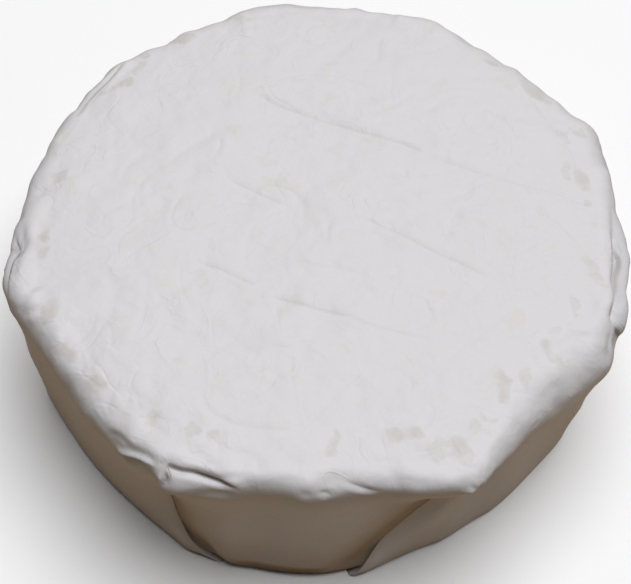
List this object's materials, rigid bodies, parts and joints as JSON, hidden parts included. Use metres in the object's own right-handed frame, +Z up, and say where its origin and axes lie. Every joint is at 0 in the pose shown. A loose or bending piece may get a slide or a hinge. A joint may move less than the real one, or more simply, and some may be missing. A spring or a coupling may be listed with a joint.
{
  "type": "cheese wheel",
  "caption": "Soft-ripened cheese wheel shut in thin white paper, flat on top, with soft corners at the rim and the paper folded down the side and tucked underneath.",
  "frame": {"origin": "on the surface it rests on, below the middle of its outline", "axes": "+Z up through the flat top, -Y towards the front, the side with one narrowing folded panel between two corners of the rim"},
  "size_m": [0.11, 0.111, 0.0373],
  "materials": {
    "paper": "matte"
  },
  "bodies": {
    "root": {"wrapped_wheel": "paper"}
  },
  "joints": []
}
